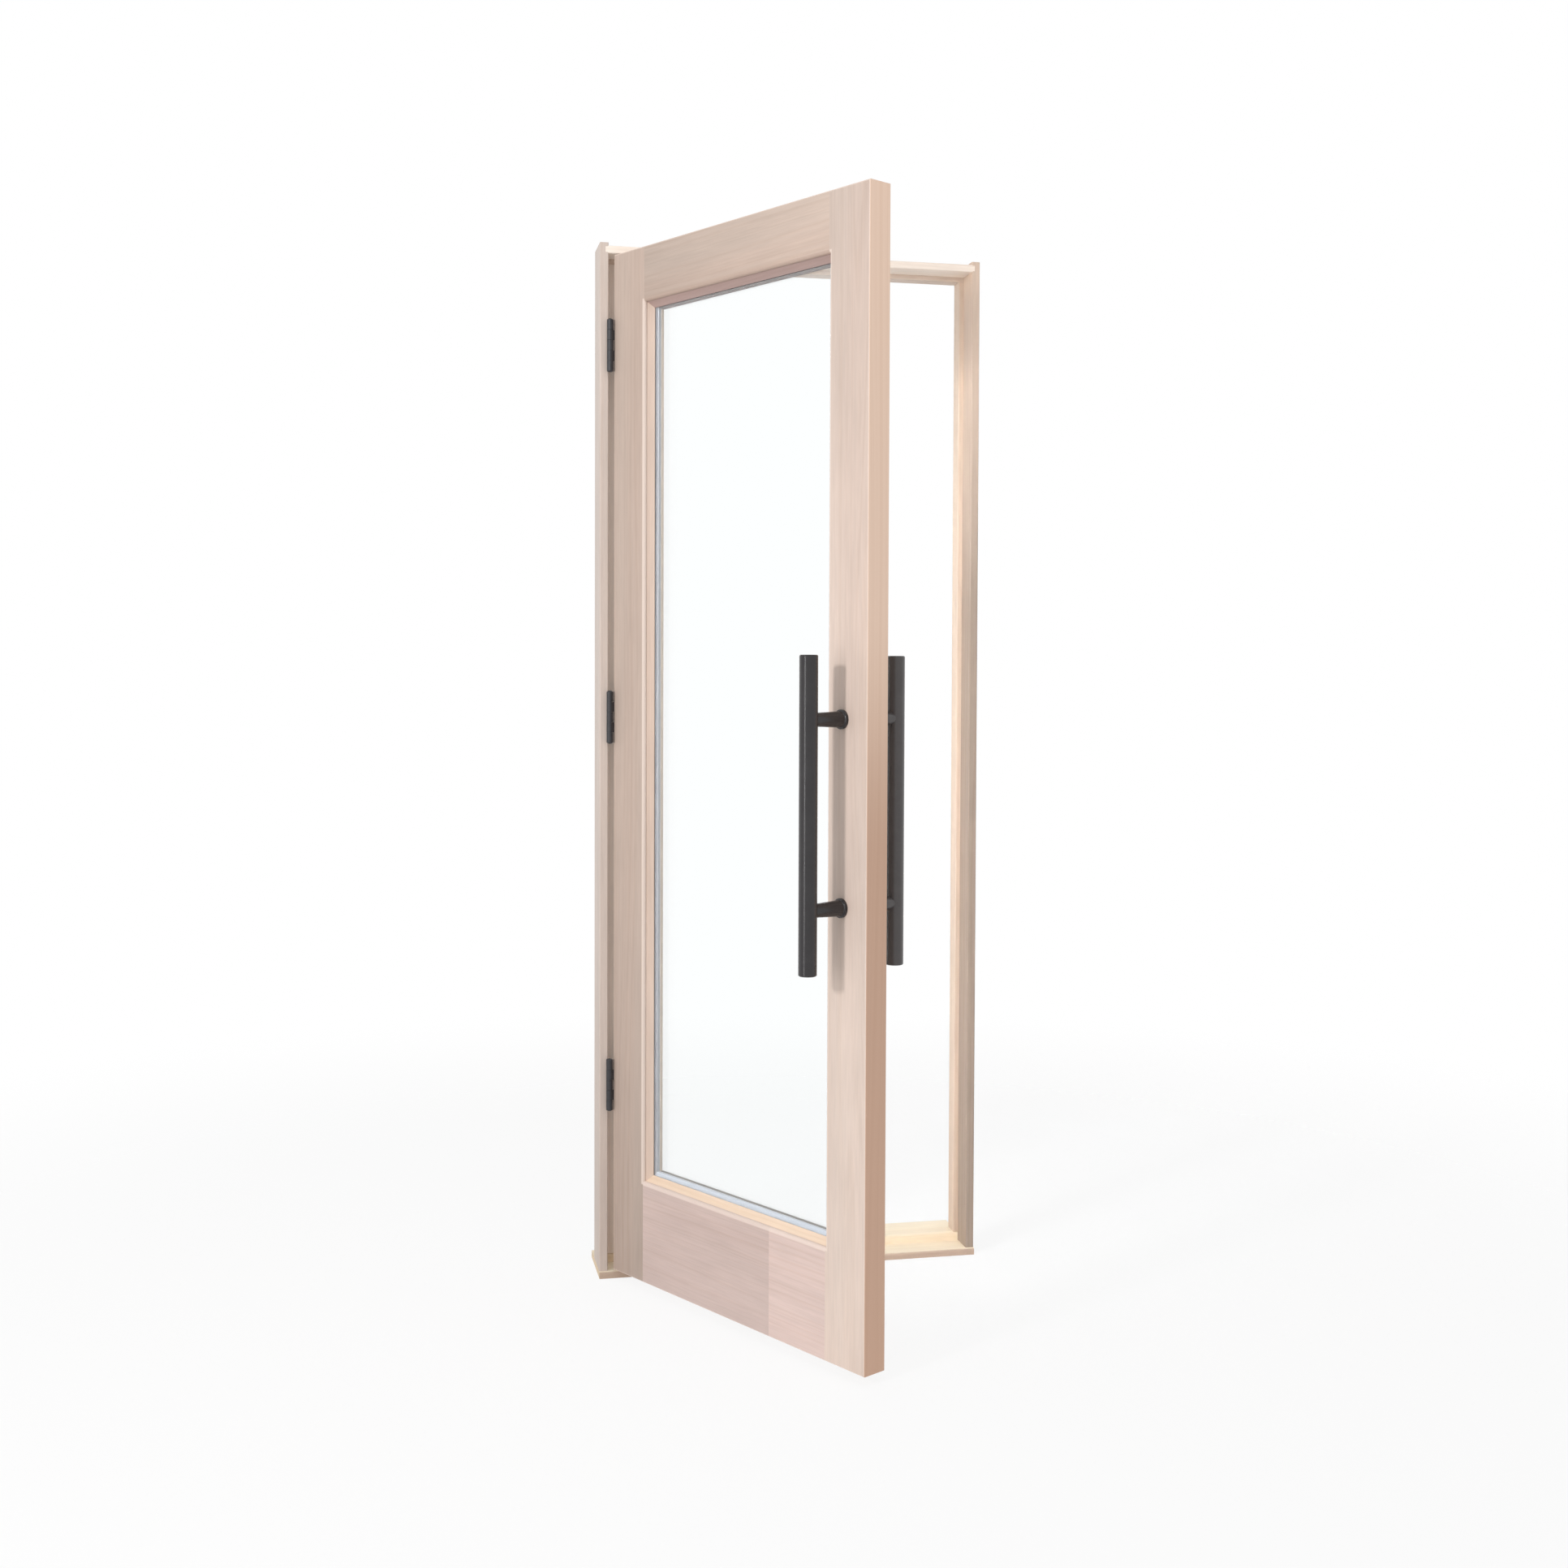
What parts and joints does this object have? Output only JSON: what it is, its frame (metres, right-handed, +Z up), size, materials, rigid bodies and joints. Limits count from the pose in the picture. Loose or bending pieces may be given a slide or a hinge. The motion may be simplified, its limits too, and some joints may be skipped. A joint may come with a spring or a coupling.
{
  "type": "sauna door",
  "caption": "Glazed timber sauna door hung open in its rebated frame, with butt hinges and a tubular pull on each face.",
  "frame": {"origin": "middle of the outer face of the hinge jamb, which is fixed to the wall", "axes": "+X across the doorway from the hinges to the latch side, +Y through the doorway away from the side the door opens to, +Z up"},
  "size_m": [0.79, 0.8041, 2.077],
  "materials": {
    "frame_wood": "planed and clear-sealed softwood",
    "sill_wood": "planed and clear-sealed softwood",
    "leaf_wood": "planed and clear-sealed softwood",
    "bead_wood": "planed and clear-sealed softwood",
    "glass": "clear float glass",
    "spacer_metal": "mill",
    "hinge_metal": "black powder coat",
    "pull_metal": "dark grey satin"
  },
  "bodies": {
    "frame": {"hinge_jamb": "frame_wood", "latch_jamb": "frame_wood", "head_jamb": "frame_wood", "sill": "sill_wood", "hinge_side_stop": "frame_wood", "latch_side_stop": "frame_wood", "head_stop": "frame_wood", "sill_step": "sill_wood", "bottom_jamb_hinge_plate": "hinge_metal", "middle_jamb_hinge_plate": "hinge_metal", "top_jamb_hinge_plate": "hinge_metal", "bottom_hinge_pin": "hinge_metal", "middle_hinge_pin": "hinge_metal", "top_hinge_pin": "hinge_metal"},
    "leaf": {"hinge_stile": "leaf_wood", "latch_stile": "leaf_wood", "top_rail": "leaf_wood", "bottom_rail": "leaf_wood", "outer_pane": "glass", "inner_pane": "glass", "glass_spacer": "spacer_metal", "outer_hinge_bead": "bead_wood", "outer_latch_bead": "bead_wood", "outer_top_bead": "bead_wood", "outer_bottom_bead": "bead_wood", "inner_hinge_bead": "bead_wood", "inner_latch_bead": "bead_wood", "inner_top_bead": "bead_wood", "inner_bottom_bead": "bead_wood", "bottom_leaf_hinge_plate": "hinge_metal", "middle_leaf_hinge_plate": "hinge_metal", "top_leaf_hinge_plate": "hinge_metal", "outer_pull_bar": "pull_metal", "inner_pull_bar": "pull_metal", "outer_upper_post": "pull_metal", "outer_lower_post": "pull_metal", "inner_upper_post": "pull_metal", "inner_lower_post": "pull_metal"}
  },
  "joints": [
    {"name": "leaf_swing", "type": "hinge", "parent": "frame", "child": "leaf", "pos_m": [0.0195, -0.0535, 0], "axis": [0, 0, -1], "range_deg": [-62, 108]}
  ]
}
